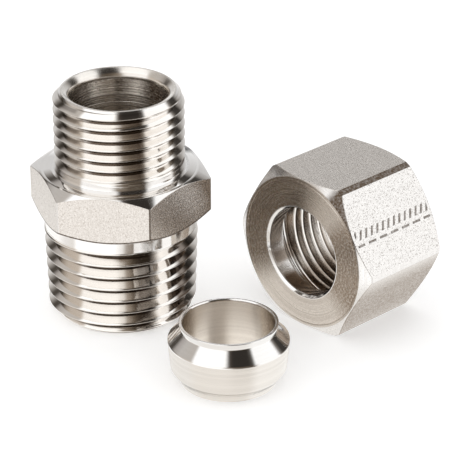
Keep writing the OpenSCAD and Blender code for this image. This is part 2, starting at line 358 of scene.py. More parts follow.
def wound_band(angles, form, marks, pitch, low, high, phase, shape, dip=0.0):
    """Rows that wind up with a right-hand thread between two heights.

    A row's height is the pitch times (turn + share of the pitch + angle / full turn), held
    between low and high. shape(height, rise) gives the radius there. A row that is held at an
    end takes the form's value there, so that no step opens where the ends meet.
    """
    share = np.array(marks)
    first = math.floor(low / pitch) - 3
    last = math.ceil(high / pitch) + 2
    level = (np.arange(first, last)[:, None] + share[None, :]).ravel()
    turn = ((angles - phase) / (2 * np.pi))[None, :]
    wound = pitch * (level[:, None] + turn)
    height = np.clip(wound, low, high)
    rise = flank(form, (height / pitch - turn) % 1.0, dip)
    exact = flank(form, np.tile(share, last - first), dip)[:, None]
    rise = np.where(np.isclose(wound, height), exact, rise)
    lines = np.tile(share * pitch, last - first)[:, None] * np.ones(len(angles))
    return shape(height, rise), height, len(share), lines, 1.0 - rise


METRIC_FORM = ((0, 0), (0.345, 1), (0.415, 1), (0.76, 0))
METRIC_MARKS = (0, 0.03, 0.17, 0.315, 0.355, 0.38, 0.405, 0.445, 0.59, 0.73, 0.77, 0.80, 0.84,
                0.88, 0.92, 0.96)
PIPE_FORM = ((0, 0), (0.40, 1), (0.48, 1), (0.88, 0))
PIPE_MARKS = (0, 0.03, 0.20, 0.37, 0.41, 0.44, 0.47, 0.51, 0.68, 0.85, 0.89, 0.905, 0.925, 0.94,
              0.96, 0.98)


def hexagon_radius(angles, turn, flats, corner_r):
    """Radius of a six-sided bar whose corners are turned down, at each angle."""
    from_flat = (angles - turn) % (np.pi / 3) - np.pi / 6
    return np.minimum(flats / 2 / np.cos(from_flat), corner_r)


def filled(tree, made, values):
    """Gives a node's inputs their values or their links."""
    for key, value in values.items():
        if isinstance(value, bpy.types.NodeSocket):
            tree.links.new(value, made.inputs[key])
        else:
            made.inputs[key].default_value = value
    return made


def node(tree, kind, values, **settings):
    """A shader node with its settings, and the values or links of its inputs."""
    made = tree.nodes.new("ShaderNode" + kind)
    for key, value in settings.items():
        setattr(made, key, value)
    return filled(tree, made, values)


def shared(tree, name, values):
    """One of the shared node groups, with the values or links of its inputs."""
    return node(tree, "Group", values, node_tree=bpy.data.node_groups[name])


def attribute(tree, name):
    """Reads an attribute of the mesh, as a number or as a vector."""
    return node(tree, "Attribute", {}, attribute_name=name).outputs


def maths(tree, kind, first, second=0.0, third=0.0):
    """The result of one arithmetic step."""
    return node(tree, "Math", {0: first, 1: second, 2: third}, operation=kind).outputs[0]


def carried(tree, value, low, high, to_low=0.0, to_high=1.0, **settings):
    """Carries a value from one range into another, and holds it there."""
    return node(tree, "MapRange", {"Value": value, "From Min": low, "From Max": high,
                                   "To Min": to_low, "To Max": to_high}, **settings).outputs[0]


def noise(tree, values, **settings):
    """Soft noise between nothing and one."""
    return node(tree, "TexNoise", values, **settings).outputs["Fac"]


def group(name, inputs, outputs):
    """A shader node group with named inputs and outputs. It returns the sockets that carry the
    inputs, and the end node."""
    tree = bpy.data.node_groups.new(name, "ShaderNodeTree")
    for label, value in inputs.items():
        kind = "NodeSocketVector" if value is None else "NodeSocketFloat"
        socket = tree.interface.new_socket(label, in_out="INPUT", socket_type=kind)
        if value is not None:
            socket.default_value = value
    for label in outputs:
        tree.interface.new_socket(label, in_out="OUTPUT", socket_type="NodeSocketFloat")
    start = tree.nodes.new("NodeGroupInput")
    return tree, start.outputs, tree.nodes.new("NodeGroupOutput")


def turning_marks():
    """Fine rings left by the tool: noise along the half section only, with a slow wander."""
    tree, given, end = group("Turning marks", {
        "Rings": 0.0, "Place": None, "Per mm": 9.0, "Wander": 0.15}, ("Height", "Mask"))
    sway = noise(tree, {"Vector": given["Place"], "Scale": 0.35, "Detail": 1.0})
    along = maths(tree, "MULTIPLY_ADD", sway, given["Wander"], given["Rings"])
    fine_place = maths(tree, "MULTIPLY", along, given["Per mm"])
    fine = noise(tree, {"W": fine_place, "Scale": 1.0, "Detail": 4.0, "Roughness": 0.7},
                 noise_dimensions="1D")
    broad_place = maths(tree, "MULTIPLY", along, 1.3)
    broad = noise(tree, {"W": broad_place, "Scale": 1.0, "Detail": 1.0}, noise_dimensions="1D")
    both = maths(tree, "ADD", maths(tree, "MULTIPLY", fine, 0.6),
                 maths(tree, "MULTIPLY", broad, 0.4))
    filled(tree, end, {"Height": fine, "Mask": carried(tree, both, 0.34, 0.66)})


def drawn_grain():
    """Grain of the drawn bar: noise drawn out along the axis, over a fine even mottle."""
    tree, given, end = group("Drawn grain", {
        "Place": None, "Across per mm": 5.0, "Draw": 0.6, "Mottle": 0.5}, ("Height", "Mask"))
    x, y, z = node(tree, "SeparateXYZ", {"Vector": given["Place"]}).outputs
    drawn = node(tree, "CombineXYZ", {
        "X": x, "Y": y, "Z": maths(tree, "MULTIPLY", z, given["Draw"])}).outputs["Vector"]
    lines = noise(tree, {"Vector": drawn, "Scale": given["Across per mm"], "Detail": 3.0,
                         "Roughness": 0.6})
    dots = noise(tree, {"Vector": given["Place"], "Scale": 5.0, "Detail": 3.0,
                        "Roughness": 0.7})
    both = maths(tree, "MULTIPLY_ADD", dots, given["Mottle"], lines)
    filled(tree, end, {"Height": both, "Mask": carried(tree, both, 0.55, 0.95)})


def torn_spots():
    """Small bright spots where the tool tore the steel, free of the warm tone and of the painted
    shade.
    """
    tree, given, end = group("Torn spots", {"Place": None, "Per mm": 3.5}, ("Mask",))
    spots = noise(tree, {"Vector": given["Place"], "Scale": given["Per mm"], "Detail": 3.0,
                         "Roughness": 0.65})
    filled(tree, end, {"Mask": carried(tree, spots, 0.44, 0.62)})


def stamped_rows():
    """Plain marks pressed into a flat: a row of slanting strokes over a row of dashes."""
    tree, given, end = group("Stamped rows", {"Along": 0.0, "Across": 0.0}, ("Mask",))
    along, across = given["Along"], given["Across"]

    def within(value, middle, reach, edge):
        """One inside the reach on either side of the middle, with a soft edge."""
        away = maths(tree, "ABSOLUTE", maths(tree, "SUBTRACT", value, middle))
        inside = maths(tree, "DIVIDE", maths(tree, "SUBTRACT", reach, away), edge)
        return node(tree, "Clamp", {"Value": inside}).outputs[0]

    def each(value, pitch):
        """Place within one pitch, from nothing to one."""
        return maths(tree, "FRACT", maths(tree, "DIVIDE", value, pitch))

    stroke_pitch, dash_pitch = 1.08, 2.16
    slant = maths(tree, "MULTIPLY_ADD", across, 0.5, along)
    strokes = maths(tree, "MULTIPLY", within(each(slant, stroke_pitch), 0.5, 0.19, 0.06),
                    within(across, 0.0, 0.62, 0.08))
    dashes = maths(tree, "MULTIPLY", within(each(along, dash_pitch), 0.5, 0.33, 0.04),
                   within(across, 1.35, 0.18, 0.08))
    half_nut, half_stamp = 7.6, 7.1
    both = maths(tree, "MULTIPLY", maths(tree, "MAXIMUM", strokes, dashes),
                 within(along, half_nut, half_stamp, 0.2))
    filled(tree, end, {"Mask": both})


def steel(name, base, film_and_shade, share, rough, swing, bump, per_mm, grain=0.0, sunk=0.0, torn=0.0,
          pits=0.0, drawn=False, stamped=False):
    """Bright stainless steel. Turned surfaces carry rings, flats carry drawn grain, and a warm
    tone of cutting fluid dulls the rings' valleys. Painted shade in the same colour darkens the
    roots of the threads and other places, read from the depth attribute. share is how much of
    the warm tone the valleys hold, sunk how dark the painted shade goes, torn how far the torn
    spots are free of both, and pits how much of the tone fine pits hold."""
    material = bpy.data.materials.new(name)
    material.use_nodes = True
    tree = material.node_tree
    shader = tree.nodes["Principled BSDF"]
    own = attribute(tree, "own")["Vector"]
    if drawn:
        marks = shared(tree, "Drawn grain", {"Across per mm": per_mm, "Place": own})
    else:
        rings = attribute(tree, "rings")["Fac"]
        marks = shared(tree, "Turning marks", {"Rings": rings, "Per mm": per_mm, "Place": own})
        tangent = node(tree, "Tangent", {}, direction_type="UV_MAP", uv_map="around")
        filled(tree, shader, {"Anisotropic": grain, "Anisotropic Rotation": 0.25,
                              "Tangent": tangent.outputs["Tangent"]})
    height, mask = marks.outputs["Height"], marks.outputs["Mask"]
    cover = maths(tree, "MULTIPLY", mask, share)
    # Painted shade: where sunk is set, the depth attribute darkens towards the warm or dark
    # colour.
    if sunk:
        deep = carried(tree, attribute(tree, "depth")["Fac"], SHADE_STARTS, 1.0, 0.0, sunk)
        cover = maths(tree, "MAXIMUM", cover, deep)
    if torn:
        spots = shared(tree, "Torn spots", {"Place": own}).outputs["Mask"]
        bare = maths(tree, "MULTIPLY_ADD", spots, -torn, 1.0)
        cover = maths(tree, "MULTIPLY", cover, bare)
        rough_edge = 0.08 if drawn else 0.4 * torn
        height = maths(tree, "MULTIPLY_ADD", spots, rough_edge, height)
    if stamped:
        rows = shared(tree, "Stamped rows", {})
        x, y, z = node(tree, "SeparateXYZ", {"Vector": own}).outputs
        across = maths(tree, "MULTIPLY_ADD", x, COS_30, maths(tree, "MULTIPLY", y, -0.5))
        stamp = filled(tree, rows, {"Along": z, "Across": across}).outputs["Mask"]
        pressed = maths(tree, "MULTIPLY", stamp, maths(tree, "MULTIPLY_ADD", mask, 0.35, 0.6))
        cover = maths(tree, "MAXIMUM", cover, pressed)
        stamp_depth = -3.0
        height = maths(tree, "MULTIPLY_ADD", stamp, stamp_depth, height)
    if pits:
        holes = shared(tree, "Torn spots", {"Per mm": 5.5, "Place": own}).outputs["Mask"]
        pitted = maths(tree, "MULTIPLY", maths(tree, "POWER", holes, 3.0), pits)
        cover = maths(tree, "MAXIMUM", cover, pitted)
    tone = node(tree, "Mix", {0: cover, 6: (*base, 1.0), 7: (*film_and_shade, 1.0)}, data_type="RGBA")
    roughness = carried(tree, mask, 0.0, 1.0, rough - swing, rough + swing)
    ridges = node(tree, "Bump", {"Height": height, "Strength": 1.0, "Distance": bump * MM})
    filled(tree, shader, {"Metallic": 1.0, "Base Color": tone.outputs[2],
                          "Roughness": roughness, "Normal": ridges.outputs["Normal"]})


def finishes(colours):
    """The steels that all three pieces share, by name."""
    if "Turning marks" not in bpy.data.node_groups:
        turning_marks()
        drawn_grain()
        torn_spots()
        stamped_rows()
    bright, faced, drawn, bored, thread, brushed, film_and_shade, soot_and_shade = (
        tuple(getattr(colours, name))
        for name in ("bright", "faced", "drawn", "bored", "thread", "brushed", "film_and_shade", "soot_and_shade"))
    # Base, film_and_shade, share, rough, swing, bump, per mm, grain, sunk, torn, pits, drawn,
    # stamped.
    wanted = {
        "turned steel": (bright, film_and_shade, 0.06, 0.09, 0.03, 0.0012, 7.0, 0.8, 1.0),
        "polished steel": (bright, film_and_shade, 0.04, 0.05, 0.015, 0.0006, 5.0, 0.6),
        "faced steel": (faced, film_and_shade, 0.55, 0.28, 0.06, 0.012, 5.0, 0.8, 0.95, 0.45, 0.5),
        "drawn steel": (drawn, film_and_shade, 0.35, 0.25, 0.05, 0.020, 6.0, 0.0, 0.95, 0.40, 0.45, True),
        "marked steel": (bright, soot_and_shade, 0.06, 0.25, 0.05, 0.022, 4.5, 0.0, 0.0, 0.0, 0.6, True,
                         True),
        "corner steel": (bright, soot_and_shade, 0.10, 0.22, 0.05, 0.006, 6.0, 0.0, 1.0, 0.2, 0.2),
        "bored steel": (bored, soot_and_shade, 0.14, 0.23, 0.10, 0.060, 4.0, 0.85, 1.0, 0.35),
        "threaded steel": (thread, soot_and_shade, 0.05, 0.08, 0.025, 0.0010, 6.0, 0.6, 0.97),
        "tapped steel": (thread, film_and_shade, 0.10, 0.12, 0.04, 0.004, 6.0, 0.6, 0.97, 0.15),
        "brushed steel": (brushed, film_and_shade, 0.14, 0.17, 0.03, 0.0016, 12.0, 0.0, 0.9),
        "reamed steel": (bored, film_and_shade, 0.22, 0.34, 0.05, 0.006, 8.0, 0.8, 0.95, 0.3),
    }
    for name, values in wanted.items():
        if name not in bpy.data.materials:
            steel(name, *values)
    return [bpy.data.materials[name] for name in wanted]


(TURNED, POLISHED, FACED, DRAWN, MARKED, CORNER, BORED, THREADED, TAPPED, BRUSHED,
 REAMED) = range(11)


def finished(skin, replaced, context, carry=lambda points: points):
    """Puts a skin in the scene as the piece that stands for its node."""
    mesh = skin.mesh(replaced, carry)
    for material in finishes(context.scene.coupling_colours):
        mesh.materials.append(material)
    piece = bpy.data.objects.new(replaced + "_turned", mesh)
    context.scene.collection.objects.link(piece)
    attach(piece, "root")
    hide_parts(replaced)


def run_out(collar, level, away):
    """Radius to which a thread's root climbs near its end: the level less 1.2 times the distance
    away from the end, and no more than the collar."""
    return np.minimum(collar, level - away * 1.2 + 0.05)


def chamfered_end(bar, inner, near, end, up):
    """Three rows of a hexagon from its end face over the 30 degree chamfer to its sides, and the
    height of the chamfer's edge at each angle. up is 1 at the lower end and -1 at the upper."""
    slant = math.tan(math.radians(30))
    edge = end + up * (bar - inner) * slant
    radii = [inner - near, inner + near, bar - math.cos(math.radians(30)) * near]
    return radii, [end, end + up * near * slant, edge - up * near * 0.5], edge


class COUPLING_OT_body(Operator):
    """Adds the stud body: bores, compression thread, hexagon and taper thread in one skin."""
    bl_idname = "coupling.body"
    bl_label = "Stud body"

    def execute(self, context):
        m = lengths(context.scene.coupling_body)
        turn = math.radians(-9.5) + math.pi / 3
        corner_r = 12.62
        corner_half = math.pi / 6 - math.acos(m.hex_af / 2 / corner_r)
        skin = Skin(angles_around(turn, corner_half, 210))
        front = math.radians(-90)
        # Painted shade in the roots of both threads, set by angle from the front.
        root_shade = shade_by_angle(skin.angles, front, (
            (-84, 1), (-74, 0.7), (-64, 0.2), (-44, 0.15), (-34, 0.6), (-24, 1), (22, 1),
            (30, 0.6), (36, 0), (58, 0.1), (76, 0.8), (84, 1)))
        self.taper_thread(skin, m, root_shade, front)
        self.hexagon(skin, m, turn, corner_r, corner_half)
        top = frame_top("stud_body")
        rim = m.crest_r - m.chamfer
        rim_corner = (rim + 0.03, top - 0.03)
        self.neck_thread(skin, m, root_shade, front, top, rim, rim_corner)
        self.inside(skin, m, top, rim, rim_corner)
        finished(skin, "stud_body", context)
        return {"FINISHED"}

    def taper_thread(self, skin, m, root_shade, front):
        """From the flow bore round the foot and up the taper thread to the lower collar."""

        def taper_r(z):
            """Crest radius of the taper thread: it grows by 1 in 32 with height."""
            return m.gauge_r + (z - m.gauge_z) / 32

        foot = taper_r(0) - m.taper_depth - m.foot_step
        slope = (taper_r(0) - foot) / m.foot_z

        def taper_shape(z, rise):
            """The lesser of thread and foot chamfer, and the greater of that and the run-out."""
            cut = taper_r(z) - m.taper_depth * (1 - rise)
            worn = np.minimum(cut, foot + slope * z)
            return np.maximum(worn, run_out(taper_r(z) - m.collar_step, taper_r(z),
                                            m.taper_end - z))

        bevel, groove_z, root_dip, start = 0.35, 0.11, 0.10, math.radians(41)
        radius, height, shift, lines, depth = wound_band(
            skin.angles, PIPE_FORM, PIPE_MARKS, m.taper_pitch, groove_z, m.taper_end, start,
            taper_shape, root_dip)
        skin.turned([(m.flow_r, BORE_SEAM), (m.flow_r, bevel), (m.flow_r + bevel, 0.0),
                     (foot, 0.0), (foot + slope * groove_z, groove_z)], FACED, last=radius[0])
        # Painted shade on the taper thread by angle from the front; the band from 46 to 72
        # degrees stands for the nut's dark reflection.
        shade = shade_by_angle(skin.angles, front, (
            (8, 0), (17, 0.55), (28, 0.55), (34, 0), (46, 0.1), (52, 0.9), (64, 0.9), (72, 0)))
        skin.band(radius, height, THREADED, shift, lines,
                  np.maximum(thread_shade(depth, root_shade, shade), shade))
        collar = taper_r(m.hex_z) - m.collar_step
        skin.turned([(collar, m.taper_end),
                     (taper_r(m.taper_end) - m.collar_step, m.taper_end + 0.05),
                     (collar, m.hex_z), (UNDER_R, m.hex_z)], TURNED, first=radius[-1])

    def hexagon(self, skin, m, turn, corner_r, corner_half):
        """The hexagon: turned ends, drawn flats, a line of painted shade along the lower edge of
        each flat, and the leaning shoulder on top."""
        bar = hexagon_radius(skin.angles, turn, m.hex_af, corner_r)
        inner, near = m.hex_af / 2 - 0.1, 0.05
        low_r, low_z, low_edge = chamfered_end(bar, inner, near, m.hex_z, 1)
        high_r, high_z, high_edge = chamfered_end(bar, inner, near, m.hex_top, -1)
        skin.rows([UNDER_R] + low_r, [m.hex_z] + low_z, TURNED)
        sides = corner_faces(skin.angles, turn, corner_half, DRAWN, CORNER)
        line_z = low_edge + near
        # The lowest rows, in corner steel with full painted shade, draw a dark line under each
        # flat.
        skin.rows([low_r[-1], bar, bar, bar, bar, high_r[-1]],
                  [low_z[-1], line_z, line_z + 0.15, line_z + 0.17, high_edge - near, high_z[-1]],
                  np.stack([CORNER + 0 * sides, CORNER + 0 * sides, sides, sides, sides]),
                  [1.0, 1.0, 1.0, 0.0, 0.0, 0.0])
        skin.rows(high_r[::-1], high_z[::-1], TURNED)
        skin.turned([(inner - near, m.hex_top), (10.5, m.hex_top), (10.4, m.hex_top + 0.03),
                     (m.crest_r - m.collar_step + m.fillet + 0.05, m.hex_top + SHOULDER_LEAN)],
                    POLISHED, 0.05)

    def neck_thread(self, skin, m, root_shade, front, top, rim, rim_corner):
        """From the shoulder over the hollow and up the compression thread to its rim."""
        neck, shoulder_z = m.crest_r - m.collar_step, m.hex_top + SHOULDER_LEAN
        hollow = [(neck + m.fillet * (1 - math.sin(bend)),
                   max(m.hex_top + m.fillet * (1 - math.cos(bend)), shoulder_z))
                  for bend in np.radians(np.linspace(0, 90, 9))]

        def neck_shape(z, rise):
            """The lesser of thread and rim chamfer, and the greater of that and the run-out."""
            cut = m.root_r + (m.crest_r - m.root_r) * rise
            worn = np.minimum(cut, rim + (top - z))
            return np.maximum(worn, run_out(neck, neck, z - m.thread_z))

        start_z, rim_z = m.thread_z - 0.05, top - (m.root_r - rim)
        root_dip, start = 0.12, math.radians(-33)
        radius, height, shift, lines, depth = wound_band(
            skin.angles, METRIC_FORM, METRIC_MARKS, m.pitch, start_z, rim_z, start, neck_shape,
            root_dip)
        skin.turned([(neck + m.fillet + 0.05, shoulder_z)] + hollow + [(neck, start_z)],
                    TURNED, 0.02, last=radius[0])
        # Painted shade on the compression thread's flanks, by angle from the front.
        shade = shade_by_angle(skin.angles, front, (
            (-84, 0.2), (-66, 0.5), (-41, 0.5), (-37, 0), (-2, 0), (4, 0.25), (22, 0.25), (26, 0),
            (60, 0), (70, 0.3)))
        skin.band(radius, height, THREADED, shift, lines, thread_shade(depth, root_shade, shade))
        skin.turned([(m.root_r, rim_z), rim_corner], TURNED, first=radius[-1])

    def inside(self, skin, m, top, rim, rim_corner):
        """From the rim down: a quarter ellipse, the long cone, the socket with two shallow steps
        of the tool, the tube's stop and the flow bore."""
        mouth = rim - m.rim_w
        lip = [(mouth - (mouth - m.cone_r) * math.sin(bend),
                top - m.mouth_z * (1 - math.cos(bend)))
               for bend in np.radians(np.linspace(0, 90, 15))]
        skin.turned([rim_corner, (rim - 0.02, top)] + lip, BRUSHED, 0.02)
        # Painted shade in the bore by angle from the far side: full on the long cone, milder in
        # the socket.
        far_side = math.radians(90)
        bore_shade = shade_by_angle(skin.angles, far_side, (
            (-84, 1), (-44, 1), (-32, 0.75), (-20, 0.25), (-6, 0.75), (4, 0.95), (12, 0),
            (32, 0), (44, 0.85), (84, 1)))
        milder_bore_shade = 0.5 * bore_shade + 0.44
        cone_end = (m.cone_r - m.socket_r) / math.tan(math.radians(12))
        socket_top, stop_z = top - m.mouth_z - cone_end, top - m.socket_z
        wide = m.socket_r + 0.11
        first, second = (wide - 0.10, socket_top + 0.22), (wide - 0.11, socket_top - 0.94)
        over_first, over_second = (wide, socket_top + 0.30), (wide, socket_top - 0.86)
        skin.turned([lip[-1], over_first], BORED, depth=bore_shade)
        skin.turned([over_first, first], TURNED)
        skin.turned([first, (m.socket_r, socket_top - 0.6), (wide, socket_top - 0.68),
                     over_second], BORED, 0.01, milder_bore_shade)
        skin.turned([over_second, second], TURNED)
        skin.turned([second, (m.socket_r, stop_z), (m.flow_r, stop_z), (m.flow_r, BORE_SEAM)],
                    BORED, depth=milder_bore_shade)


class COUPLING_OT_ring(Operator):
    """Adds the cutting ring: a half section turned once round its own upright axis."""
    bl_idname = "coupling.ring"
    bl_label = "Cutting ring"

    def execute(self, context):
        s = context.scene.coupling_ring
        m = lengths(s)
        top = frame_top("cutting_ring")
        skin = Skin(angles_around(0.0, math.radians(0.4), 360))
        lean, edge_start, lip_end = 0.11, m.edge_z - 0.25, top - 0.05
        bevel_end = (m.bore_r, top - m.bore_chamfer)
        skin.turned([(m.bore_r, 0.2), (m.bore_r, 0.08), (m.bore_r + 0.08, 0.0),
                     (m.nose_r - 0.05, 0.0), (m.nose_r, 0.05)], TURNED, 0.03)
        skin.turned([(m.nose_r, 0.05), (m.nose_r, m.nose_z)], BRUSHED)
        skin.turned([(m.nose_r, m.nose_z), (m.foot_r - 0.35, m.shoulder_z - 0.15),
                     (m.foot_r, m.shoulder_z + 0.35), (m.edge_r, edge_start)], BRUSHED, 0.15)
        skin.turned([(m.edge_r, edge_start), (m.edge_r - 0.04, m.edge_z),
                     (m.lip_r - lean, m.lip_z + lean), (m.lip_r, lip_end)], TURNED)
        skin.turned([(m.lip_r, lip_end), (m.lip_r - 0.05, top), (m.bore_r + m.bore_chamfer, top),
                     bevel_end], TURNED, 0.04)
        # Painted shade in the reamed bore by angle: none on the far wall, darker round the sides
        # and the near wall.
        worn = shade_by_angle(skin.angles, math.radians(90), (
            (-88, 1), (-62, 0.85), (-48, 0.5), (-40, 0), (42, 0), (52, 0.4), (66, 0.85), (88, 1)))
        skin.turned([bevel_end, (m.bore_r, 0.2)], REAMED, depth=worn)
        spot = np.array([s.x, s.y, 0.0])
        finished(skin, "cutting_ring", context, lambda points: points + spot)
        return {"FINISHED"}


class COUPLING_OT_nut(Operator):
    """Adds the union nut: six drawn flats outside, tube hole, cone and thread inside."""
    bl_idname = "coupling.nut"
    bl_label = "Union nut"

    def execute(self, context):
        s = context.scene.coupling_nut
        m = lengths(s)
        corner_turn = math.radians(30)
        corner_half = math.pi / 6 - math.acos(m.af / 2 / m.corner_r)
        skin = Skin(angles_around(corner_turn, corner_half))
        self.outside(skin, m, corner_turn, corner_half)
        self.inside(skin, m)
        spot = np.array([s.x, s.y, m.af / 2 * MM])
        along = np.array([math.cos(s.turn), math.sin(s.turn), 0.0])
        down = np.array([0.0, 0.0, -1.0])
        aside = np.cross(along, down)
        finished(skin, "union_nut", context,
                 lambda points: place(points, spot, down, aside, along))
        return {"FINISHED"}

    def outside(self, skin, m, corner_turn, corner_half):
        """The face round the tube hole with its fine groove, the flats, and the back face."""
        bar = hexagon_radius(skin.angles, corner_turn, m.af, m.corner_r)
        inner, near = m.af / 2 - 0.1, 0.06
        low_r, low_z, low_edge = chamfered_end(bar, inner, near, 0.0, 1)
        high_r, high_z, high_edge = chamfered_end(bar, inner, near, m.length, -1)
        hole_edge = m.hole_r + m.hole_chamfer
        groove = [(10.38, 0.0), (10.45, 0.06), (10.52, 0.0)]
        skin.turned([(m.hole_r, m.hole_chamfer + 0.2), (m.hole_r, m.hole_chamfer),
                     (hole_edge, 0.0), (hole_edge + 0.1, 0.0)], TURNED, 0.05)
        # Painted shade on the nut's face, by angle round its axis.
        face_shade = shade_by_angle(skin.angles, 0.0, (
            (0, 0), (40, 0.3), (70, 1), (150, 1), (180, 0.8), (205, 0.3), (218, 0.3), (234, 1),
            (296, 1), (322, 0.2)))
        skin.turned([(hole_edge + 0.1, 0.0)] + groove + [(inner - near, 0.0)], FACED, 0.02,
                    face_shade)
        # Painted shade on the lower chamfer between 203 and 254 degrees.
        dark = shade_by_angle(skin.angles, 0.0, ((203, 0), (209, 1), (244, 1), (254, 0)))
        skin.rows(low_r, low_z, CORNER, [dark] * 3)
        # Painted shade on the flats: a thin stripe on the corner near 210 degrees and a darker
        # stretch from 272 to 332 degrees.
        dark = shade_by_angle(skin.angles, 0.0, (
            (207.5, 0), (207.9, 1), (212.1, 1), (212.5, 0), (272, 0), (278, 0.5), (288, 0.9),
            (312, 1), (324, 0.85), (330, 0.5), (332, 0)))
        flats = (DRAWN, DRAWN, DRAWN, MARKED, DRAWN, DRAWN)
        skin.rows([low_r[-1], bar, bar, high_r[-1]],
                  [low_z[-1], low_edge + near, high_edge - near, high_z[-1]],
                  corner_faces(skin.angles, corner_turn, corner_half, flats, CORNER), [dark] * 4)
        skin.rows(high_r[::-1] + [inner - 0.6], high_z[::-1] + [m.length], FACED)
        skin.turned([(inner - 0.6, m.length), (m.crest_r + m.mouth, m.length),
                     (m.root_r, self.thread_end(m))], TURNED, 0.05)

    def thread_end(self, m):
        """Height at which the thread's roots meet the 45 degree chamfer at its mouth."""
        return m.length - (m.crest_r + m.mouth - m.root_r)

    def inside(self, skin, m):
        """The inside thread, the relief behind it, the 45 degree cone and the tube hole."""

        def shape(z, rise):
            """Radius of the inside thread, and of its mouth chamfer where that is wider."""
            cut = m.crest_r + (m.root_r - m.crest_r) * rise
            return np.maximum(cut, m.crest_r + m.mouth - (m.length - z))

        pitch, start = 1.5, math.radians(-176)
        radius, height, shift, lines, depth = wound_band(
            skin.angles, METRIC_FORM, METRIC_MARKS, pitch, m.thread_z, self.thread_end(m), start,
            shape)
        # Painted shade on the inside thread: by angle round the nut, and over all of it but the
        # crests.
        shade = shade_by_angle(skin.angles, 0.0, (
            (-60, 0.9), (35, 0.9), (52, 0.2), (66, 0), (96, 0), (120, 0.6), (170, 0.8),
            (230, 0)))
        below_crest_shade = np.minimum(1.0, 1.35 - 1.35 * depth)
        skin.band(radius, height, TAPPED, shift, lines, np.maximum(below_crest_shade, shade))
        skin.faces[-1] = skin.faces[-1][:, ::-1]
        skin.rows([radius[0], m.relief_r], [m.thread_z, m.thread_z], TURNED)
        # Painted shade on the relief, the cone and the tube hole, by angle round the nut.
        shade = shade_by_angle(skin.angles, 0.0, (
            (-60, 1), (34, 1), (42, 0.1), (50, 0), (56, 0.8), (66, 0.8), (74, 0), (108, 0),
            (122, 0.9), (165, 0.9), (200, 0)))
        skin.turned([(m.relief_r, m.thread_z), (m.relief_r, m.relief_z), (m.hole_r, m.land),
                     (m.hole_r, m.hole_chamfer + 0.2)], TURNED, 0.08, shade)


class COUPLING_OT_stage(Operator):
    """Adds the table, the soft light round it and the camera at the photograph's angle."""
    bl_idname = "coupling.stage"
    bl_label = "Table, light and camera"

    def execute(self, context):
        scene = context.scene
        colours = scene.coupling_colours
        table_top(tuple(colours.table))
        studio_light()
        photograph_camera(scene)
        scene.view_settings.view_transform = "Standard"
        return {"FINISHED"}


def table_top(shade):
    """A plain pale table: white to the camera, clear to rays from the metal, and it keeps its
    shadows.
    """
    mesh = bpy.data.meshes.new("table")
    reach = 3.0
    edge = np.linspace(-reach, reach, 5)
    x, y = np.meshgrid(edge, edge)
    points = np.stack([x.ravel(), y.ravel(), np.full(x.size, -0.00002)], axis=1)
    row = np.arange(4)
    corner = (row[:, None] * 5 + row[None, :]).ravel()
    faces = np.stack([corner, corner + 1, corner + 6, corner + 5], axis=1)
    mesh.from_pydata(points.tolist(), [], faces.tolist())
    material = bpy.data.materials.new("table white")
    material.use_nodes = True
    tree = material.node_tree
    shader = tree.nodes["Principled BSDF"]
    path = node(tree, "LightPath", {})
    glow = maths(tree, "MULTIPLY", path.outputs["Is Camera Ray"], 0.35)
    filled(tree, shader, {"Base Color": (*shade, 1.0), "Roughness": 0.9,
                          "Specular IOR Level": 0.1, "Emission Color": (1.0, 1.0, 1.0, 1.0),
                          "Emission Strength": glow})
    through = node(tree, "BsdfTransparent", {})
    mixed = node(tree, "MixShader", {0: path.outputs["Is Glossy Ray"], 1: shader.outputs[0],
                                     2: through.outputs[0]})
    filled(tree, tree.nodes["Material Output"], {"Surface": mixed.outputs[0]})
    mesh.materials.append(material)
    table = bpy.data.objects.new("table", mesh)
    bpy.context.scene.collection.objects.link(table)


UNDER_ROW = ((-180, 0.22, 0.20, 0.18), (180, 0.22, 0.20, 0.18))
TABLE_ROW = (
    (-180, 0.85, 0.84, 0.82), (-40, 0.98, 0.97, 0.95), (-30, 0.96, 0.93, 0.89),
    (20, 0.96, 0.93, 0.89), (30, 1.10, 1.09, 1.07), (88, 1.05, 1.05, 1.04),
    (180, 0.85, 0.84, 0.82))
FAR_ROW = (
    (-180, 0.90, 0.89, 0.88), (-86, 1.20, 1.19, 1.17), (-52, 1.20, 1.18, 1.15),
    (-44, 0.95, 0.92, 0.89), (-36, 0.90, 0.86, 0.81), (-33, 1.30, 1.29, 1.28),
    (-3, 1.30, 1.29, 1.27), (3, 0.95, 0.92, 0.88), (6, 0.40, 0.35, 0.30),
    (12, 0.22, 0.18, 0.14), (22, 0.12, 0.09, 0.07), (26, 0.22, 0.19, 0.16),
    (29, 1.10, 1.07, 1.03), (56, 1.20, 1.19, 1.18), (62, 0.75, 0.72, 0.68),
    (74, 0.42, 0.39, 0.36), (82, 0.60, 0.58, 0.56), (180, 0.90, 0.89, 0.88))
HORIZON_ROW = (
    (-180, 0.60, 0.59, 0.58), (-88, 0.70, 0.69, 0.68), (-80, 0.40, 0.38, 0.36),
    (-75, 0.16, 0.14, 0.12), (-70, 0.05, 0.04, 0.03), (-62, 0.05, 0.04, 0.03),
    (-56, 0.40, 0.35, 0.30), (-50, 0.62, 0.56, 0.50), (-36, 0.68, 0.61, 0.54),
    (-33, 1.20, 1.19, 1.18), (-6, 1.15, 1.13, 1.10), (0, 0.30, 0.25, 0.20),
    (10, 0.12, 0.095, 0.07), (24, 0.10, 0.08, 0.06), (28, 0.90, 0.88, 0.85),
    (32, 1.25, 1.24, 1.23), (55, 1.20, 1.18, 1.15), (59, 0.25, 0.22, 0.19),
    (64, 0.06, 0.05, 0.04), (72, 0.07, 0.06, 0.05), (77, 0.28, 0.26, 0.24),
    (86, 0.55, 0.53, 0.51), (180, 0.60, 0.59, 0.58))
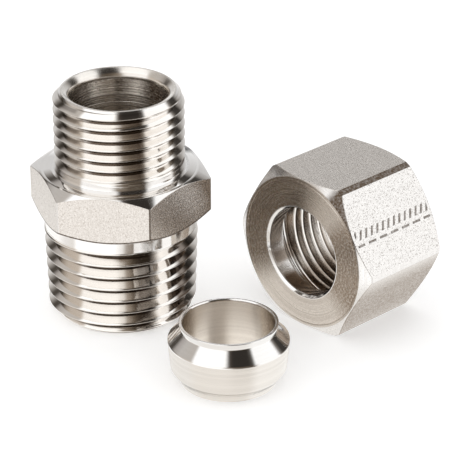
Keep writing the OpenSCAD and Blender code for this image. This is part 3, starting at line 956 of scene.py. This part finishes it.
TOP_ROW = (
    (-180, 0.62, 0.61, 0.60), (-150, 0.10, 0.10, 0.10), (-140, 1.0, 1.0, 1.0),
    (-112, 1.0, 1.0, 1.0), (-104, 0.70, 0.69, 0.68), (-84, 0.72, 0.71, 0.70),
    (-80, 0.55, 0.53, 0.51), (-75, 0.30, 0.28, 0.26), (-70, 0.08, 0.07, 0.06),
    (-66, 0.08, 0.07, 0.06), (-61, 0.42, 0.39, 0.37), (-52, 0.56, 0.53, 0.50),
    (-36, 0.55, 0.51, 0.47), (-33, 1.25, 1.25, 1.25), (-2, 1.25, 1.24, 1.22),
    (2, 0.08, 0.065, 0.055), (6, 0.035, 0.03, 0.026), (21, 0.035, 0.03, 0.026),
    (25, 0.10, 0.09, 0.08), (28, 1.15, 1.15, 1.14), (54, 1.20, 1.20, 1.20),
    (58, 0.22, 0.20, 0.18), (62, 0.05, 0.045, 0.04), (70, 0.05, 0.045, 0.04),
    (75, 0.38, 0.36, 0.34), (82, 0.62, 0.61, 0.60), (112, 0.9, 0.9, 0.9),
    (120, 0.10, 0.10, 0.10), (132, 0.9, 0.9, 0.9), (180, 0.62, 0.61, 0.60))


def panel_row(tree, share, panels):
    """One row of the tent: soft panels and the gaps between them, by their angle in plan."""
    ramp = node(tree, "ValToRGB", {"Fac": share})
    elements = ramp.color_ramp.elements
    for number, (degrees, *shade) in enumerate(panels):
        spot = degrees / 360 + 0.5
        element = elements[number] if number < 2 else elements.new(spot)
        element.position = spot
        element.color = (*shade, 1.0)
    return ramp.outputs["Color"]


def blend_rows(tree, below, above, lift, start, end):
    """Goes from the lower row to the upper one between two elevations, in degrees."""
    share = carried(tree, lift, start, end, interpolation_type="SMOOTHSTEP")
    return node(tree, "Mix", {0: share, 6: below, 7: above}, data_type="RGBA").outputs[2]


def studio_light():
    """A white tent lit from all round, with gaps between its soft panels.

    A direction in the tent is halved with the direction from which the photograph was taken.
    The half direction's angle in plan picks the panel and its elevation picks the row. A mirror
    that faces the half direction shows that panel in the photograph. Straight away from the
    camera the half direction has no length, and the tent is plain there.
    """
    world = bpy.data.worlds.new("studio")
    bpy.context.scene.world = world
    world.use_nodes = True
    tree = world.node_tree
    tree.nodes.clear()
    out = node(tree, "OutputWorld", {})
    direction = node(tree, "TexCoord", {})
    towards = (0.035, -0.900, 0.430)
    half = node(tree, "VectorMath", {0: direction.outputs["Generated"], 1: towards},
                operation="ADD")
    x, y, z = node(tree, "SeparateXYZ", {"Vector": half.outputs["Vector"]}).outputs
    bearing = maths(tree, "ARCTAN2", x, maths(tree, "MULTIPLY", y, -1.0))
    share = maths(tree, "MULTIPLY_ADD", bearing, 1 / (2 * math.pi), 0.5)
    across = maths(tree, "SQRT", maths(tree, "MULTIPLY_ADD", x, x, maths(tree, "MULTIPLY", y, y)))
    lift = maths(tree, "MULTIPLY", maths(tree, "ARCTAN2", z, across), 180 / math.pi)
    tent_shade = panel_row(tree, share, UNDER_ROW)
    for row, start, end in ((TABLE_ROW, -48, -38), (FAR_ROW, -5.2, -4.2),
                            (HORIZON_ROW, 3.0, 7.0), (TOP_ROW, 28, 36)):
        tent_shade = blend_rows(tree, tent_shade, panel_row(tree, share, row), lift, start, end)
    length = node(tree, "VectorMath", {0: half.outputs["Vector"]}, operation="LENGTH")
    plain = node(tree, "RGB", {})
    plain.outputs[0].default_value = (0.85, 0.83, 0.81, 1.0)
    tent_shade = blend_rows(tree, plain.outputs[0], tent_shade, length.outputs["Value"], 0.2, 0.5)
    path = node(tree, "LightPath", {})
    tent = node(tree, "Background", {"Color": tent_shade, "Strength": 1.0})
    even = node(tree, "Background", {"Color": (0.9, 0.9, 0.9, 1.0), "Strength": 1.0})
    clear = node(tree, "Background", {"Color": (1.0, 1.0, 1.0, 1.0), "Strength": 1.0})
    soft = node(tree, "MixShader", {0: path.outputs["Is Diffuse Ray"], 1: tent.outputs[0],
                                    2: even.outputs[0]})
    seen = node(tree, "MixShader", {0: path.outputs["Is Camera Ray"], 1: soft.outputs[0],
                                    2: clear.outputs[0]})
    filled(tree, out, {"Surface": seen.outputs[0]})


def photograph_camera(scene):
    """The camera as solved from the photograph: its place, its dip and its focal length."""
    focal_pixels, dip = 2527.8, 26.561
    data = bpy.data.cameras.new("photograph")
    data.sensor_width = 36.0
    data.lens = data.sensor_width * focal_pixels / PHOTO_PIXELS
    data.clip_start = 0.01
    data.clip_end = 20.0
    camera = bpy.data.objects.new("photograph", data)
    camera.location = (0.01573, -0.3134, 0.16726)
    camera.rotation_euler = (math.radians(90 - dip), 0.0, 0.0)
    scene.collection.objects.link(camera)
    scene.camera = camera


class COUPLING_PT_panel(Panel):
    """Lists the pieces and the stage in the sidebar."""
    bl_idname = "COUPLING_PT_panel"
    bl_label = "Compression coupling"
    bl_space_type = "VIEW_3D"
    bl_region_type = "UI"
    bl_category = "Coupling"

    def draw(self, context):
        """A button for each piece and for the stage, and every setting below them."""
        for name in ("coupling.body", "coupling.ring", "coupling.nut", "coupling.stage"):
            self.layout.operator(name)
        for group_name in ("coupling_body", "coupling_ring", "coupling_nut", "coupling_colours"):
            box = self.layout.box()
            settings = getattr(context.scene, group_name)
            for key in settings.__annotations__:
                box.prop(settings, key)


CLASSES = (BodySizes, RingSizes, NutSizes, FinishColours, COUPLING_OT_body, COUPLING_OT_ring,
           COUPLING_OT_nut, COUPLING_OT_stage, COUPLING_PT_panel)


def register():
    """Registers the classes and hangs the settings on the scene."""
    for cls in CLASSES:
        bpy.utils.register_class(cls)
    bpy.types.Scene.coupling_body = PointerProperty(type=BodySizes)
    bpy.types.Scene.coupling_ring = PointerProperty(type=RingSizes)
    bpy.types.Scene.coupling_nut = PointerProperty(type=NutSizes)
    bpy.types.Scene.coupling_colours = PointerProperty(type=FinishColours)


def unregister():
    """Takes the settings and the classes away again."""
    for name in ("coupling_body", "coupling_ring", "coupling_nut", "coupling_colours"):
        delattr(bpy.types.Scene, name)
    for cls in reversed(CLASSES):
        bpy.utils.unregister_class(cls)


def main():
    """Builds the pieces and the stage."""
    register()
    bpy.ops.coupling.body()
    bpy.ops.coupling.ring()
    bpy.ops.coupling.nut()
    bpy.ops.coupling.stage()


if __name__ == "__main__":
    main()
